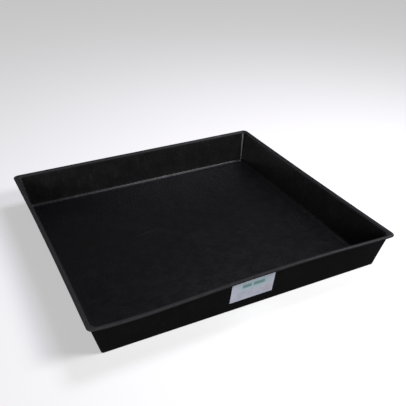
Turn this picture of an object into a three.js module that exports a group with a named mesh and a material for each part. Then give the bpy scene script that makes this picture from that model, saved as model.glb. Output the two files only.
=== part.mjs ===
// A one-piece moulded plastic spill tray with the label on its front wall.
// Millimetres, +Z up, the front wall towards -Y. The origin is the centre of the underside.

import * as THREE from 'three';

// Driving dimensions: the tray
const TRAY_LENGTH = 1400; // over the rim, along X
const TRAY_WIDTH = 1325; // over the rim, along Y
const TRAY_HEIGHT = 177; // ground to the top of the rim
const WALL = 6; // thickness of the walls and the floor
const WALL_RUN = 43.5; // how far a wall leans out from its foot to the underside of the rim
const RIM_OVERHANG = 12; // rim past the outer face of the wall
const LIP_DEPTH = 10; // height of the rim's outer edge

// Driving dimensions: rounding of the section
const FOOT_ROUND = 5;
const UNDER_RIM_ROUND = 3;
const LIP_LOWER_ROUND = 2;
const LIP_UPPER_ROUND = 7.5;
const RIM_INNER_ROUND = 13;
const FLOOR_ROUND = 16;

// Driving dimensions: corner radii seen from above
const FOOT_CORNER = 9;
const WALL_TOP_CORNER = 35;
const RIM_CORNER = 22;

// Driving dimensions: how far the rim is drawn in at the middle of a side, as the walls relax after moulding
const FRONT_BOW = 11;
const SIDE_BOW = 5;
const FRONT_BOW_PLACE = 0.62; // where the front bows most, as a share of its length from the left
const SIDE_BOW_PLACE = 0.5;

// Driving dimensions: how far the front rim hangs near each end, and the share of its length that hangs
const LEFT_SAG = 11;
const LEFT_SAG_SPAN = 0.6;
const RIGHT_SAG = 4;
const RIGHT_SAG_SPAN = 0.3;

// Driving dimensions: the label
const LABEL_LENGTH = 200;
const LABEL_HEIGHT = 110;
const LABEL_THICKNESS = 0.4;
const LABEL_CORNER = 2;
const LABEL_TOP = 158; // height of its upper edge
const LABEL_OFFSET = -9; // its middle from the middle of the wall
const LABEL_GAP = 0.3; // clearance that stands for the adhesive

// Smoothness
const CORNER_STEPS = 4; // each plan corner has twice as many facets
const TRAY_SIDE_STEPS = 18;
const LABEL_SIDE_STEPS = 6;
const ARC_STEP = Math.PI / 14; // largest turn between two points of a rounded section corner

const wallHeight = TRAY_HEIGHT - LIP_DEPTH;
const wallLean = Math.atan2(WALL_RUN, wallHeight); // from the vertical
const wallAcross = WALL / Math.cos(wallLean); // wall thickness measured level
const footInset = RIM_OVERHANG + WALL_RUN;

// The section from the underside, round the outside, over the rim and down to the floor. Each corner has
// its distance in from the rim's edge, its height, its plan corner radius and its own rounding.
const sectionCorners = [
  { inset: footInset, z: 0, plan: FOOT_CORNER, round: FOOT_ROUND },
  { inset: RIM_OVERHANG, z: wallHeight, plan: WALL_TOP_CORNER, round: UNDER_RIM_ROUND },
  { inset: 0, z: wallHeight, plan: RIM_CORNER, round: LIP_LOWER_ROUND },
  { inset: 0, z: TRAY_HEIGHT, plan: RIM_CORNER, round: LIP_UPPER_ROUND },
  {
    inset: RIM_OVERHANG + wallAcross,
    z: TRAY_HEIGHT,
    plan: WALL_TOP_CORNER - WALL,
    round: RIM_INNER_ROUND,
  },
  {
    inset: footInset + wallAcross - WALL * Math.tan(wallLean),
    z: WALL,
    plan: WALL,
    round: FLOOR_ROUND,
  },
];

// Points of a corner rounded by an arc that touches both of its sides.
// A vector holds (inset, z, plan radius); the arc lies in inset and z, and the plan radius blends along it.
function roundedCorner(before, corner, after, radius) {
  const flat = (v) => new THREE.Vector2(v.x, v.y);
  const back = flat(before).sub(flat(corner)).normalize();
  const ahead = flat(after).sub(flat(corner)).normalize();
  const halfAngle = Math.acos(back.dot(ahead)) / 2;
  const reach = radius / Math.tan(halfAngle);
  const start = corner.clone().lerp(before, reach / flat(before).distanceTo(flat(corner)));
  const end = corner.clone().lerp(after, reach / flat(after).distanceTo(flat(corner)));
  const middle = back.clone().add(ahead).normalize();
  const centre = flat(corner).addScaledVector(middle, radius / Math.sin(halfAngle));
  const turn = Math.PI - 2 * halfAngle;
  const side = Math.sign(back.cross(ahead));
  const steps = Math.ceil(turn / ARC_STEP);
  const from = flat(start).sub(centre).angle();
  const points = [];
  for (let i = 0; i <= steps; i++) {
    const share = i / steps;
    const angle = from - side * turn * share;
    points.push(new THREE.Vector3(
      centre.x + radius * Math.cos(angle),
      centre.y + radius * Math.sin(angle),
      THREE.MathUtils.lerp(start.z, end.z, share),
    ));
  }
  return points;
}

// The whole section as points. The underside and the floor run level, inwards from its two ends.
function sectionPoints() {
  const corners = sectionCorners.map((c) => new THREE.Vector3(c.inset, c.z, c.plan));
  const inward = new THREE.Vector3(TRAY_WIDTH / 4, 0, 0);
  const first = corners[0].clone().add(inward);
  const last = corners[corners.length - 1].clone().add(inward);
  return corners.flatMap((corner, i) => roundedCorner(
    corners[i - 1] ?? first,
    corner,
    corners[i + 1] ?? last,
    sectionCorners[i].round,
  ));
}

// A rectangle with arcs at its corners and each straight side in equal steps, so that the sides can bend.
function roundedRectangle(length, width, radius, sideSteps) {
  const x = length / 2 - radius;
  const y = width / 2 - radius;
  const quarter = Math.PI / 2;
  const centres = [[x, y], [-x, y], [-x, -y], [x, -y]];
  const alongArc = ([cx, cy], angle) => new THREE.Vector2(
    cx + radius * Math.cos(angle),
    cy + radius * Math.sin(angle),
  );
  const shape = new THREE.Shape();
  centres.forEach((centre, i) => {
    const endAngle = (i + 1) * quarter;
    const sideStart = alongArc(centre, endAngle);
    const sideEnd = alongArc(centres[(i + 1) % centres.length], endAngle);
    shape.absarc(...centre, radius, endAngle - quarter, endAngle);
    for (let step = 1; step < sideSteps; step++) {
      const point = sideStart.clone().lerp(sideEnd, step / sideSteps);
      shape.lineTo(point.x, point.y);
    }
  });
  return shape;
}

// A skin over a stack of level loops with equal numbers of points. A fan closes it at each end.
function loft(loops) {
  const count = loops[0].length;
  const last = loops.length - 1;
  const bottomCentre = loops.length * count;
  const topCentre = bottomCentre + 1;
  const centres = [new THREE.Vector3(0, 0, loops[0][0].z), new THREE.Vector3(0, 0, loops[last][0].z)];
  const index = [];
  for (let i = 0; i < count; i++) {
    const next = (i + 1) % count;
    for (let ring = 0; ring < last; ring++) {
      const a = ring * count + i;
      const b = ring * count + next;
      index.push(a, b, b + count);
      index.push(a, b + count, a + count);
    }
    index.push(bottomCentre, next, i);
    index.push(topCentre, last * count + i, last * count + next);
  }
  const geometry = new THREE.BufferGeometry().setFromPoints([...loops.flat(), ...centres]);
  geometry.setIndex(index);
  return geometry;
}

// Draws the walls in towards the middle of each side and lets the front rim hang, from nothing at the foot
// to the whole amount at the rim.
function settle(geometry) {
  const { clamp } = THREE.MathUtils;
  const hump = (share, place) => Math.sin(Math.PI * share ** (Math.log(0.5) / Math.log(place)));
  const sag = (share, span) => Math.sin(Math.PI * Math.sqrt(clamp(share / span, 0, 1))) ** 2;
  const position = geometry.attributes.position;
  for (let i = 0; i < position.count; i++) {
    const point = new THREE.Vector3().fromBufferAttribute(position, i);
    const rise = clamp(point.z / wallHeight, 0, 1);
    const acrossX = (2 * point.x) / TRAY_LENGTH; // -1 at the left side, 1 at the right side
    const acrossY = (2 * point.y) / TRAY_WIDTH; // -1 at the front, 1 at the back
    const share = (1 + acrossX) / 2;
    const front = rise * Math.max(-acrossY, 0);
    const drawnBack = FRONT_BOW * hump(share, FRONT_BOW_PLACE);
    const drawnIn = SIDE_BOW * rise * acrossX * hump((1 + acrossY) / 2, SIDE_BOW_PLACE);
    const hanging = LEFT_SAG * sag(share, LEFT_SAG_SPAN) + RIGHT_SAG * sag(1 - share, RIGHT_SAG_SPAN);
    position.setXYZ(i, point.x - drawnIn, point.y + front * drawnBack, point.z - front * hanging);
  }
  geometry.computeVertexNormals();
  return geometry;
}

function trayGeometry() {
  const loops = sectionPoints().map(({ x: inset, y: height, z: plan }) => {
    const outline = roundedRectangle(
      TRAY_LENGTH - 2 * inset,
      TRAY_WIDTH - 2 * inset,
      plan,
      TRAY_SIDE_STEPS,
    );
    return outline.getPoints(CORNER_STEPS).map((p) => new THREE.Vector3(p.x, p.y, height));
  });
  return settle(loft(loops));
}

// The label leans with the front wall, lies on its outer face and bends with it.
function labelGeometry() {
  const outline = roundedRectangle(LABEL_LENGTH, LABEL_HEIGHT, LABEL_CORNER, LABEL_SIDE_STEPS);
  const geometry = new THREE.ExtrudeGeometry(outline, {
    depth: LABEL_THICKNESS,
    bevelEnabled: false,
    curveSegments: CORNER_STEPS,
  });
  const wallAtTop = TRAY_WIDTH / 2 - footInset + LABEL_TOP * Math.tan(wallLean);
  geometry.translate(0, -LABEL_HEIGHT / 2, LABEL_GAP);
  geometry.rotateX(Math.PI / 2 + wallLean);
  geometry.translate(LABEL_OFFSET, -wallAtTop, LABEL_TOP);
  return settle(geometry);
}

const tray = new THREE.Mesh(
  trayGeometry(),
  new THREE.MeshStandardMaterial({ color: 0x141416, roughness: 0.5, metalness: 0 }),
);
tray.name = 'tray';

const label = new THREE.Mesh(
  labelGeometry(),
  new THREE.MeshStandardMaterial({ color: 0xb9bcc6, roughness: 0.45, metalness: 0 }),
);
label.name = 'front_label';

const group = new THREE.Group();
group.add(tray, label);

export default group;
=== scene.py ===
"""A black moulded plastic spill tray with a printed label on its front wall.

Metres, +Z up, the front wall towards -Y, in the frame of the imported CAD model.
"""

import math
from collections import namedtuple

import bmesh
import bpy
from mathutils import Matrix, Vector, noise


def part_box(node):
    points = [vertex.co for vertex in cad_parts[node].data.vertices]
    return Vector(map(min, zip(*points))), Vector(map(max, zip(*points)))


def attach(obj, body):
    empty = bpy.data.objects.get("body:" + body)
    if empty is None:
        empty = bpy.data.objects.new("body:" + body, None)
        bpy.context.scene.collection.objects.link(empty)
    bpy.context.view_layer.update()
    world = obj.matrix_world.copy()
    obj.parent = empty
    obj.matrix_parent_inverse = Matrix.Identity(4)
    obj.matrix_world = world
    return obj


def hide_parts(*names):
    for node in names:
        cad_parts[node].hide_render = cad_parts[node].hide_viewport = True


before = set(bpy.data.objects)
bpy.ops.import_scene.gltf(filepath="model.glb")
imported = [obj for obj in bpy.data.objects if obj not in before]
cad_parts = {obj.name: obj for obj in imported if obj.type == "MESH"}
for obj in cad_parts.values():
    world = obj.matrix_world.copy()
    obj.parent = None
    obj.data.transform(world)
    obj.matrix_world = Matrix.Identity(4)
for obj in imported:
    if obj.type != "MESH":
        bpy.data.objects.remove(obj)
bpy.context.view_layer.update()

scene = bpy.context.scene

# The tray's section, as in the CAD model
WALL = 0.006
WALL_RUN = 0.0435
RIM_OVERHANG = 0.012
LIP_DEPTH = 0.010
FOOT_ROUND = 0.005
UNDER_RIM_ROUND = 0.003
LIP_LOWER_ROUND = 0.002
LIP_UPPER_ROUND = 0.0075
RIM_INNER_ROUND = 0.013
FLOOR_ROUND = 0.016

# Corner radii seen from above
FOOT_CORNER = 0.009
WALL_TOP_CORNER = 0.035
RIM_CORNER = 0.022

# How far the rim is drawn in at the middle of a side
FRONT_BOW = 0.011
SIDE_BOW = 0.005
FRONT_BOW_PLACE = 0.62
SIDE_BOW_PLACE = 0.5

# How far the front rim hangs near its two ends, and over what share of its length
LEFT_SAG = 0.011
LEFT_SAG_SPAN = 0.6
RIGHT_SAG = 0.004
RIGHT_SAG_SPAN = 0.3

# Unevenness of the moulding: its size, and how many waves it has in a metre
WALL_WAVE = 0.0012
RIM_WAVE = 0.0010
FLOOR_SWELL = 0.0015
WAVES_PER_METRE = 5
WALL_SEED = 3.1
RIM_SEED = 7.3
FLOOR_SEED = 11.7

# The floor's swell: how far in from the foot it begins, over what distance it grows to its full size, and
# the share of the unevenness that leaves the floor at its own height
SWELL_START = 0.03
SWELL_GROWTH = 0.1
SWELL_LEVEL = 0.3

# Mesh steps
CORNER_STEPS = 12
SIDE_STEPS = 60
ARC_STEP = math.radians(9)
WALL_STEP = 0.012
LABEL_CORNER_STEPS = 6
LABEL_SIDE_STEPS = 24

tray_low, tray_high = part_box("tray")
LENGTH = tray_high.x - tray_low.x
WIDTH = tray_high.y - tray_low.y
HEIGHT = tray_high.z
LEVEL_CENTRE = Vector(((tray_low.x + tray_high.x) / 2, (tray_low.y + tray_high.y) / 2, 0))

WALL_HEIGHT = HEIGHT - LIP_DEPTH
WALL_LEAN = math.atan2(WALL_RUN, WALL_HEIGHT)
WALL_ACROSS = WALL / math.cos(WALL_LEAN)
FOOT_INSET = RIM_OVERHANG + WALL_RUN

# The label
label_low, label_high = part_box("front_label")
LABEL_LENGTH = label_high.x - label_low.x
LABEL_HEIGHT = (label_high.z - label_low.z) / math.cos(WALL_LEAN)
LABEL_THICKNESS = 0.0003
LABEL_CORNER = 0.002
LABEL_GAP = 0.0001
label_middle = (label_low.x + label_high.x) / 2

Corner = namedtuple("Corner", "inset z plan round")
SECTION_CORNERS = [
    Corner(FOOT_INSET, 0, FOOT_CORNER, FOOT_ROUND),
    Corner(RIM_OVERHANG, WALL_HEIGHT, WALL_TOP_CORNER, UNDER_RIM_ROUND),
    Corner(0, WALL_HEIGHT, RIM_CORNER, LIP_LOWER_ROUND),
    Corner(0, HEIGHT, RIM_CORNER, LIP_UPPER_ROUND),
    Corner(RIM_OVERHANG + WALL_ACROSS, HEIGHT, WALL_TOP_CORNER - WALL, RIM_INNER_ROUND),
    Corner(FOOT_INSET + WALL_ACROSS - WALL * math.tan(WALL_LEAN), WALL, WALL, FLOOR_ROUND),
]


def rounded_corner(before, corner, after, radius):
    """Points (inset, z, plan radius) of a section corner rounded by an arc that touches both sides."""
    back = (before - corner).to_2d()
    ahead = (after - corner).to_2d()
    half_angle = back.angle(ahead) / 2
    reach = radius / math.tan(half_angle)
    start = corner.lerp(before, reach / back.length)
    end = corner.lerp(after, reach / ahead.length)
    middle = (back.normalized() + ahead.normalized()).normalized()
    centre = corner.to_2d() + middle * radius / math.sin(half_angle)
    turn = math.pi - 2 * half_angle
    side = math.copysign(1, back.cross(ahead))
    steps = math.ceil(turn / ARC_STEP)
    spoke = start.to_2d() - centre
    points = []
    for i in range(steps + 1):
        share = i / steps
        arm = Matrix.Rotation(-side * turn * share, 2) @ spoke
        points.append(Vector((*(centre + arm), start.z + (end.z - start.z) * share)))
    return points


def section_points():
    """The section from the underside, round the outside, over the rim and down to the floor."""
    corners = [Vector((c.inset, c.z, c.plan)) for c in SECTION_CORNERS]
    inward = Vector((WIDTH / 4, 0, 0))
    path = [corners[0] + inward, *corners, corners[-1] + inward]
    points = []
    for i, corner in enumerate(SECTION_CORNERS):
        arc = rounded_corner(*path[i:i + 3], corner.round)
        if points:
            gap = arc[0] - points[-1]
            steps = math.ceil(gap.to_2d().length / WALL_STEP)
            points += [points[-1] + gap * step / steps for step in range(1, steps)]
        points += arc
    return points


def outline(length, width, radius, corner_steps, side_steps):
    """A rounded rectangle. It starts in the middle of the corner towards +X +Y and runs anticlockwise."""
    x = length / 2 - radius
    y = width / 2 - radius
    centres = [(x, y), (-x, y), (-x, -y), (x, -y)]
    points = []
    for i, (cx, cy) in enumerate(centres):
        arc = []
        for step in range(corner_steps + 1):
            angle = (i + step / corner_steps) * math.pi / 2
            arc.append(Vector((cx + radius * math.cos(angle), cy + radius * math.sin(angle))))
        nx, ny = centres[(i + 1) % 4]
        turned = (i + 1) * math.pi / 2
        side_end = Vector((nx + radius * math.cos(turned), ny + radius * math.sin(turned)))
        side = [arc[-1].lerp(side_end, step / side_steps) for step in range(1, side_steps)]
        points += arc + side
    half = corner_steps // 2
    return points[half:] + points[:half]


def hump(share, place):
    """From 0 at one end of a side, through 1 at the given place, to 0 at its other end."""
    return math.sin(math.pi * min(max(share, 0), 1) ** (math.log(0.5) / math.log(place)))


def sag(share, span):
    """From 0 at an end of the front, through 1 at a quarter of the span, to 0 again past it."""
    return math.sin(math.pi * math.sqrt(min(max(share, 0) / span, 1))) ** 2


def unevenness(point, seed):
    """A slow wander between 0 and 1 along the tray."""
    place = Vector((point.x * WAVES_PER_METRE, point.y * WAVES_PER_METRE, seed))
    return 0.5 + 0.5 * noise.noise(place)


def near_side(across):
    """0 up to nine tenths of the way from the middle of the tray to its side, and 1 at the side."""
    return max(abs(across) * 10 - 9, 0)


def settled(point):
    """Where a point of the tray ends up once its walls have relaxed after moulding."""
    rise = min(max(point.z / WALL_HEIGHT, 0), 1)
    across_x = 2 * point.x / LENGTH
    across_y = 2 * point.y / WIDTH
    share = (1 + across_x) / 2
    front = rise * max(-across_y, 0)
    drawn_back = FRONT_BOW * front * hump(share, FRONT_BOW_PLACE)
    drawn_in = SIDE_BOW * rise * across_x * hump((1 + across_y) / 2, SIDE_BOW_PLACE)
    hanging = LEFT_SAG * sag(share, LEFT_SAG_SPAN) + RIGHT_SAG * sag(1 - share, RIGHT_SAG_SPAN)
    inward = WALL_WAVE * rise * unevenness(point, WALL_SEED)
    drawn_in += math.copysign(inward, point.x) * near_side(across_x)
    drawn_back += math.copysign(inward, -point.y) * near_side(across_y)
    dip = front * hanging + RIM_WAVE * rise ** 2 * unevenness(point, RIM_SEED)
    return point + Vector((-drawn_in, drawn_back, -dip))


def coons(ring):
    """A grid of points that fills a ring of 4 equal runs, as rows of points. The ring is its border."""
    n = len(ring) // 4
    top = ring[0:n + 1]
    left = ring[n:2 * n + 1]
    bottom = ring[2 * n:3 * n + 1][::-1]
    right = (ring[3 * n:] + ring[:1])[::-1]
    rows = []
    for j in range(n + 1):
        v = j / n
        row = []
        for i in range(n + 1):
            u = i / n
            ruled = top[i].lerp(bottom[i], v) + right[j].lerp(left[j], u)
            corners = top[0].lerp(top[n], u).lerp(bottom[0].lerp(bottom[n], u), v)
            row.append(ruled - corners)
        rows.append(row)
    return rows


def fill(bm, ring, ring_verts, upward):
    """Closes a ring with a grid of faces."""
    n = len(ring) // 4
    rows = coons(ring)
    verts = [[None] * (n + 1) for _ in range(n + 1)]
    for k, vert in enumerate(ring_verts):
        side, step = divmod(k, n)
        j, i = [(0, step), (step, n), (n, n - step), (n - step, 0)][side]
        verts[j][i] = vert
    for j in range(n + 1):
        for i in range(n + 1):
            if verts[j][i] is None:
                verts[j][i] = bm.verts.new(rows[j][i])
    for j in range(n):
        for i in range(n):
            quad = [verts[j][i], verts[j][i + 1], verts[j + 1][i + 1], verts[j + 1][i]]
            bm.faces.new(quad if upward else quad[::-1])


def settle(bm):
    """Settles every vertex and keeps the height it was moulded at."""
    layer = bm.verts.layers.float.new("moulded_z")
    for vert in bm.verts:
        vert[layer] = vert.co.z
        vert.co = settled(vert.co) + LEVEL_CENTRE


def swell_floor(bm):
    """Lets the floor rise and fall slightly between the walls. Its underside stays flat."""
    for vert in bm.verts:
        edge_x = LENGTH / 2 - FOOT_INSET - abs(vert.co.x)
        edge_y = WIDTH / 2 - FOOT_INSET - abs(vert.co.y)
        share = min(max((min(edge_x, edge_y) - SWELL_START) / SWELL_GROWTH, 0), 1)
        if vert.co.z > WALL / 2:
            vert.co.z += FLOOR_SWELL * share * (unevenness(vert.co, FLOOR_SEED) - SWELL_LEVEL)


def new_piece(name, bm):
    """Turns a bmesh into a smooth-shaded object in the scene."""
    mesh = bpy.data.meshes.new(name)
    bm.to_mesh(mesh)
    bm.free()
    mesh.shade_smooth()
    piece = bpy.data.objects.new(name, mesh)
    scene.collection.objects.link(piece)
    return piece


def loft(bm, rings):
    """A closed skin over a stack of rings, from the one underneath to the one on top."""
    loops = [[bm.verts.new(p) for p in ring] for ring in rings]
    for lower, upper in zip(loops, loops[1:]):
        for i in range(len(lower)):
            j = (i + 1) % len(lower)
            bm.faces.new([lower[i], lower[j], upper[j], upper[i]])
    fill(bm, rings[0], loops[0], upward=False)
    fill(bm, rings[-1], loops[-1], upward=True)


def make_tray():
    bm = bmesh.new()
    rings = []
    for inset, z, plan in section_points():
        flat = outline(LENGTH - 2 * inset, WIDTH - 2 * inset, plan, CORNER_STEPS, SIDE_STEPS)
        rings.append([Vector((p.x, p.y, z)) for p in flat])
    loft(bm, rings)
    settle(bm)
    swell_floor(bm)
    return new_piece("spill_tray", bm)


def put(tree, socket, value):
    """Links a node's input to another node's output, or sets it to a value."""
    if isinstance(value, bpy.types.NodeSocket):
        tree.links.new(value, socket)
    else:
        socket.default_value = value


class Shader:
    """Builds a material's nodes. Each method adds one node and returns its output."""

    def __init__(self, tree):
        self.tree = tree
        tree.nodes.clear()

    def node(self, kind, inputs=None, **settings):
        made = self.tree.nodes.new("ShaderNode" + kind)
        for name, value in settings.items():
            setattr(made, name, value)
        for key, value in (inputs or {}).items():
            put(self.tree, made.inputs[key], value)
        return made

    def math(self, operation, *values):
        return self.node("Math", dict(enumerate(values)), operation=operation).outputs[0]

    def ramp(self, value, low, high, start=0.0, end=1.0):
        """Goes smoothly from start to end as the value goes from low to high."""
        inputs = {"Value": value, "From Min": low, "From Max": high, "To Min": start, "To Max": end}
        return self.node("MapRange", inputs, interpolation_type="SMOOTHSTEP").outputs[0]

    def ramp_linear(self, value, low, high):
        """The value as a share of the way from low to high."""
        return self.node("MapRange", {"Value": value, "From Min": low, "From Max": high}).outputs[0]

    def mix(self, factor, a, b):
        return self.node("Mix", {0: factor, 6: a, 7: b}, data_type="RGBA").outputs[2]

    def object_coordinates(self):
        return self.node("TexCoord").outputs["Object"]

    def streaks(self, vector, angle, size, detail, roughness):
        """A noise whose cells have the given size in metres and are turned about Z by degrees."""
        rotation = (0, 0, math.radians(angle))
        inputs = {"Vector": vector, "Rotation": rotation, "Scale": size}
        cells = self.node("Mapping", inputs, vector_type="TEXTURE").outputs[0]
        return self.noise(cells, 1, detail, roughness)

    def noise(self, vector, scale, detail=2.0, roughness=0.5):
        inputs = {"Vector": vector, "Scale": scale, "Detail": detail, "Roughness": roughness}
        return self.node("TexNoise", inputs).outputs[0]

    def bump(self, height, depth, normal=None):
        """Raises a surface by up to depth metres where the height is 1."""
        inputs = {"Height": height, "Distance": depth, "Strength": 1.0}
        if normal:
            inputs["Normal"] = normal
        return self.node("Bump", inputs).outputs[0]

    def surface(self, **inputs):
        sockets = {name.replace("_", " "): value for name, value in inputs.items()}
        shader = self.node("BsdfPrincipled", sockets)
        self.finish(shader.outputs[0])

    def finish(self, shader):
        self.node("OutputMaterial", {"Surface": shader})


def new_material(name, build):
    material = bpy.data.materials.new(name)
    material.use_nodes = True
    build(Shader(material.node_tree))
    return material


def grey(value):
    return (value, value, value, 1)


BLACK = (0.0034, 0.0034, 0.0038, 1)
PALER_BLACK = (0.0048, 0.0048, 0.0054, 1)
SCUFFED = (0.026, 0.026, 0.028, 1)
STREAKED = (0.016, 0.016, 0.017, 1)
DUSTY = (0.032, 0.031, 0.029, 1)
# Rim grey: real rubbing together with a painted sheen
RUBBED_AND_SHEEN = (0.017, 0.017, 0.0195, 1)

# Each direction of scratches: the turn in degrees, and the size of its streaks in metres
SCRATCHES = (
    (12, (0.25, 0.004, 0.03)),
    (-58, (0.2, 0.003, 0.03)),
    (83, (0.25, 0.004, 0.03)),
)
RUN_SIZE = (0.014, 0.014, 0.33)
RUBBED_AND_SHEEN_FADE = 0.003  # how far above the underside of the rim the rubbing and the painted sheen reach their full strength


def tray_plastic(s):
    """Black polyethylene: a fine moulded grain, faint scuffs and runs, a little dust, and a rim lightened
    partly by rubbing and partly by painted sheen.
    """
    place = s.object_coordinates()
    x, y, _ = s.node("SeparateXYZ", {0: place}).outputs
    z = s.node("Attribute", attribute_name="moulded_z").outputs["Fac"]
    facing = s.node("SeparateXYZ", {0: s.node("NewGeometry").outputs["Normal"]}).outputs[2]
    level = s.ramp(facing, 0.55, 0.98)

    mottle = s.noise(place, 9, 5, 0.6)
    colour = s.mix(s.ramp(mottle, 0.3, 0.7), BLACK, PALER_BLACK)

    # Long fine scratches where things were dragged in and out, in patches
    patches = s.ramp(s.noise(place, 5, 3), 0.5, 0.68)
    scratches = 0.0
    for angle, size in SCRATCHES:
        streak = s.ramp(s.streaks(place, angle, size, 3, 0.6), 0.62, 0.72)
        scratches = s.math("MAXIMUM", scratches, streak)
    scuffs = s.math("MULTIPLY", s.math("MULTIPLY", scratches, patches), s.ramp(facing, 0.3, 0.9, 0.35, 1.0))
    colour = s.mix(s.math("MULTIPLY", scuffs, 0.5), colour, SCUFFED)

    # Faint runs down the walls
    runs = s.ramp(s.streaks(place, 0, RUN_SIZE, 4, 0.55), 0.55, 0.75)
    steep = s.ramp(s.math("ABSOLUTE", facing), 0.6, 0.35)
    runs = s.math("MULTIPLY", runs, steep)
    colour = s.mix(s.math("MULTIPLY", runs, 0.25), colour, STREAKED)

    # Dust on the level faces, thickest along the foot of the walls
    across = s.math("DIVIDE", s.math("ABSOLUTE", x), LENGTH / 2 - FOOT_INSET)
    along = s.math("DIVIDE", s.math("ABSOLUTE", y), WIDTH / 2 - FOOT_INSET)
    edge = s.ramp(s.math("MAXIMUM", across, along), 0.86, 0.99, 0.25, 1.0)
    cloud = s.ramp(s.noise(place, 4, 6, 0.65), 0.4, 0.75)
    specks = s.ramp(s.noise(place, 260, 3, 0.7), 0.5, 0.8)
    dust = s.math("MULTIPLY", s.math("MULTIPLY", cloud, edge), s.math("MULTIPLY", level, specks))
    colour = s.mix(s.math("MULTIPLY", dust, 0.4), colour, DUSTY)

    # The rim is painted a lighter grey: partly real rubbing, and partly a painted sheen that stands in for
    # the highlight on its rounded top and lip. It is duller than the walls, most of all towards the left
    top = s.ramp(z, WALL_HEIGHT, WALL_HEIGHT + RUBBED_AND_SHEEN_FADE)
    rubbed_and_sheen = s.math("MULTIPLY", top, s.ramp(s.noise(place, 45, 4, 0.65), 0.3, 0.7, 0.55, 1.0))
    colour = s.mix(s.math("MULTIPLY", rubbed_and_sheen, 0.8), colour, RUBBED_AND_SHEEN)

    roughness = s.ramp(s.noise(place, 22, 4, 0.6), 0.25, 0.75, 0.29, 0.39)
    roughness = s.math("ADD", roughness, s.math("MULTIPLY", dust, 0.3))
    roughness = s.math("ADD", roughness, s.math("MULTIPLY", scuffs, 0.15))
    roughness = s.math("ADD", roughness, s.math("MULTIPLY", runs, 0.08))
    dull = s.ramp(x, -0.1, 0.6, 0.42, 0.18)
    roughness = s.math("ADD", roughness, s.math("MULTIPLY", top, dull))

    # Fine grain on a slightly rippled skin, cut by the scratches
    cells = s.node("TexVoronoi", {"Vector": place, "Scale": 380.0}, feature="SMOOTH_F1").outputs[0]
    rippled = s.bump(s.noise(place, 45, 2), 0.0006)
    grained = s.bump(cells, 0.00010, rippled)
    marked = s.bump(s.math("SUBTRACT", 1, scuffs), 0.00015, grained)
    s.surface(Base_Color=colour, Roughness=roughness, Normal=marked, IOR=1.5, Specular_IOR_Level=0.3)


FILM = (0.55, 0.57, 0.68, 1)
PALER_FILM = (0.63, 0.65, 0.76, 1)
HALO = (0.42, 0.60, 0.62, 1)
TEAL = (0.11, 0.24, 0.24, 1)
RULE_GREY = (0.25, 0.27, 0.32, 1)
PINK = (0.55, 0.35, 0.42, 1)
GRIME = (0.22, 0.22, 0.23, 1)

# The print, in shares of the label's length and height
TEAL_BARS = ((0.25, 0.46), (0.50, 0.77))
RULES_LEFT = 0.16
RULES_RIGHT = (0.62, 0.74, 0.55, 0.68)
RULES_TOP = 0.56
RULE_SPACING = 0.09
RULE_HEIGHT = 0.025


def label_film(s):
    """Pale printed film: two teal bars in a paler halo, faint rules and a pink block. It has no lettering."""
    place = s.object_coordinates()
    x, _, z = s.node("SeparateXYZ", {0: place}).outputs
    across = s.ramp_linear(x, label_low.x, label_high.x)
    down = s.ramp_linear(z, label_high.z, label_low.z)

    def patch(left, right, top, bottom, soft=0.006):
        """1 inside a printed block and 0 outside. The edges are shares of the label's size."""
        inside = 1.0
        for value, low, high in ((across, left, right), (down, top, bottom)):
            inside = s.math("MULTIPLY", inside, s.ramp(value, low - soft, low + soft))
            inside = s.math("MULTIPLY", inside, s.ramp(value, high + soft, high - soft))
        return inside

    tone = s.noise(place, 30, 4, 0.6)
    colour = s.mix(s.ramp(tone, 0.3, 0.7), FILM, PALER_FILM)
    halo = patch(0.20, 0.88, 0.08, 0.50, soft=0.08)
    colour = s.mix(s.math("MULTIPLY", halo, 0.7), colour, HALO)
    for left, right in TEAL_BARS:
        bar = patch(left, right, 0.19, 0.36, soft=0.02)
        colour = s.mix(s.math("MULTIPLY", bar, 0.75), colour, TEAL)
    for number, right in enumerate(RULES_RIGHT):
        top = RULES_TOP + RULE_SPACING * number
        rule = patch(RULES_LEFT, right, top, top + RULE_HEIGHT)
        colour = s.mix(s.math("MULTIPLY", rule, 0.35), colour, RULE_GREY)
    block = patch(0.76, 0.93, 0.56, 0.88)
    colour = s.mix(s.math("MULTIPLY", block, 0.3), colour, PINK)
    grime = s.ramp(s.noise(place, 90, 5, 0.7), 0.55, 0.8)
    colour = s.mix(s.math("MULTIPLY", grime, 0.2), colour, GRIME)

    roughness = s.ramp(s.noise(place, 60, 3), 0.3, 0.7, 0.38, 0.52)
    rippled = s.bump(s.noise(place, 35, 2), 0.0004)
    fibrous = s.bump(s.noise(place, 1500, 2), 0.00002, rippled)
    s.surface(Base_Color=colour, Roughness=roughness, Normal=fibrous, IOR=1.5)


def make_label():
    """A thin film that lies on the front wall and bends with it."""
    lift = Matrix.Translation((0, 0, LABEL_GAP))
    lean = Matrix.Rotation(math.pi / 2 + WALL_LEAN, 4, "X")
    top = label_high.z
    wall_at_top = WIDTH / 2 - FOOT_INSET + top * math.tan(WALL_LEAN)
    to_wall = Matrix.Translation((label_middle, -wall_at_top, top)) @ lean @ lift
    flat = outline(LABEL_LENGTH, LABEL_HEIGHT, LABEL_CORNER, LABEL_CORNER_STEPS, LABEL_SIDE_STEPS)
    bm = bmesh.new()
    rings = []
    chamfer = LABEL_THICKNESS / 3
    for z, margin in ((0, 0), (LABEL_THICKNESS - chamfer, 0), (LABEL_THICKNESS, chamfer)):
        shrink_x = 1 - 2 * margin / LABEL_LENGTH
        shrink_y = 1 - 2 * margin / LABEL_HEIGHT
        ring = [Vector((p.x * shrink_x, p.y * shrink_y - LABEL_HEIGHT / 2, z)) for p in flat]
        rings.append([to_wall @ p for p in ring])
    loft(bm, rings)
    settle(bm)
    return new_piece("front_label_film", bm)


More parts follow.
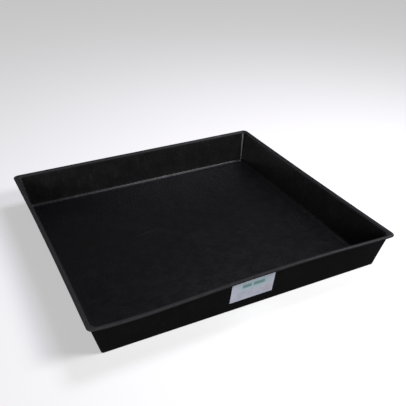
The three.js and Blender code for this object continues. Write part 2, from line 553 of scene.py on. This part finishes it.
# The camera: angles in degrees, sensor and lens in millimetres
CAMERA_TARGET = Vector((0.200, 0.2414, 0))
CAMERA_AZIMUTH = -26.48
CAMERA_ELEVATION = 29.72
CAMERA_DISTANCE = 3.203
SENSOR_WIDTH = 36
LENS = 52.64

# The ground: its half width, the paleness and glow that the camera sees, and what it throws on the tray
GROUND_REACH = 60
GROUND_PALENESS = 0.8
GROUND_GLOW = 0.48
GROUND_BOUNCE = 0.08

# The backdrop is as bright as the ground is far away from the lamps
SURROUNDINGS = 0.07
BACKDROP = GROUND_GLOW + GROUND_PALENESS * SURROUNDINGS

# The lamps
LAMP_DISTANCE = 3.5
TOP_LAMP_DISTANCE = 3.0
WIDE_BOX = (1.4, 0.8)
SQUARE_BOX = (1.2, 1.2)
COOL_WHITE = (0.87, 0.82, 1.0)


def studio_ground(s):
    """Pale and faintly glowing to the camera, and dim to the tray, as if black flags stood around it."""
    paper = s.node("BsdfDiffuse", {"Color": grey(GROUND_PALENESS)}).outputs[0]
    glow = s.node("Emission", {"Color": grey(1), "Strength": GROUND_GLOW}).outputs[0]
    pale = s.node("AddShader", {0: paper, 1: glow}).outputs[0]
    dim = s.node("BsdfDiffuse", {"Color": grey(GROUND_BOUNCE)}).outputs[0]
    seen = s.node("LightPath").outputs["Is Camera Ray"]
    s.finish(s.node("MixShader", {0: seen, 1: dim, 2: pale}).outputs[0])


def make_ground():
    bm = bmesh.new()
    bmesh.ops.create_grid(bm, x_segments=1, y_segments=1, size=GROUND_REACH)
    ground = new_piece("studio_ground", bm)
    ground.data.materials.append(new_material("studio_ground", studio_ground))
    return ground


def make_world():
    """A pale backdrop to the camera and dim surroundings to the tray."""
    world = bpy.data.worlds.new("studio")
    world.use_nodes = True
    scene.world = world
    s = Shader(world.node_tree)
    dim = s.node("Background", {"Color": grey(1), "Strength": SURROUNDINGS}).outputs[0]
    pale = s.node("Background", {"Color": grey(1), "Strength": BACKDROP}).outputs[0]
    seen = s.node("LightPath").outputs["Is Camera Ray"]
    s.node("OutputWorld", {"Surface": s.node("MixShader", {0: seen, 1: dim, 2: pale}).outputs[0]})


def direction(azimuth, elevation):
    """From the tray towards a camera or a lamp. Azimuth 0 is the front and 90 the right side."""
    a = math.radians(azimuth)
    e = math.radians(elevation)
    return Vector((math.sin(a) * math.cos(e), -math.cos(a) * math.cos(e), math.sin(e)))


def aimed(piece, target, back, distance):
    """Puts a camera or a lamp in the scene, at a distance from the target and facing it."""
    piece.location = target + back * distance
    piece.rotation_euler = back.to_track_quat("Z", "Y").to_euler()
    scene.collection.objects.link(piece)


def make_softbox(name, azimuth, elevation, distance, size, power, colour=(1, 1, 1)):
    lamp = bpy.data.lights.new(name, "AREA")
    lamp.shape = "RECTANGLE"
    lamp.size, lamp.size_y = size
    lamp.energy = power
    lamp.color = colour
    box = bpy.data.objects.new(name, lamp)
    box.visible_camera = False
    aimed(box, Vector((0, 0, HEIGHT)), direction(azimuth, elevation), distance)
    return box


def keep_off(boxes, ground):
    """Lets low lamps light the tray only. On the ground they would leave hot patches."""
    shaded = bpy.data.collections.new("shaded_from_low_lamps")
    shaded.objects.link(ground)
    shaded.collection_objects[0].light_linking.link_state = "EXCLUDE"
    for box in boxes:
        box.light_linking.receiver_collection = shaded


def make_camera():
    data = bpy.data.cameras.new("camera")
    data.sensor_width = SENSOR_WIDTH
    data.lens = LENS
    camera = bpy.data.objects.new("camera", data)
    aimed(camera, CAMERA_TARGET, direction(CAMERA_AZIMUTH, CAMERA_ELEVATION), CAMERA_DISTANCE)
    scene.camera = camera


make_camera()
ground = make_ground()
make_world()
make_softbox("front_softbox", 40, 42, LAMP_DISTANCE, WIDE_BOX, power=72)
make_softbox("right_softbox", 110, 68, TOP_LAMP_DISTANCE, SQUARE_BOX, power=36, colour=COOL_WHITE)
low_boxes = [
    make_softbox("left_softbox", -45, 12, LAMP_DISTANCE, WIDE_BOX, power=85),
    make_softbox("side_softbox", 90, 8, LAMP_DISTANCE, WIDE_BOX, power=24),
    make_softbox("back_softbox", 196, 6, LAMP_DISTANCE, WIDE_BOX, power=12),
]
keep_off(low_boxes, ground)
scene.view_settings.view_transform = "Standard"

tray = make_tray()
tray.data.materials.append(new_material("tray_plastic_look", tray_plastic))
label = make_label()
label.data.materials.append(new_material("label_film_look", label_film))
for piece, node, slot in ((tray, "tray", "tray_plastic"), (label, "front_label", "label_film")):
    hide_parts(node)
    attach(piece, "root")
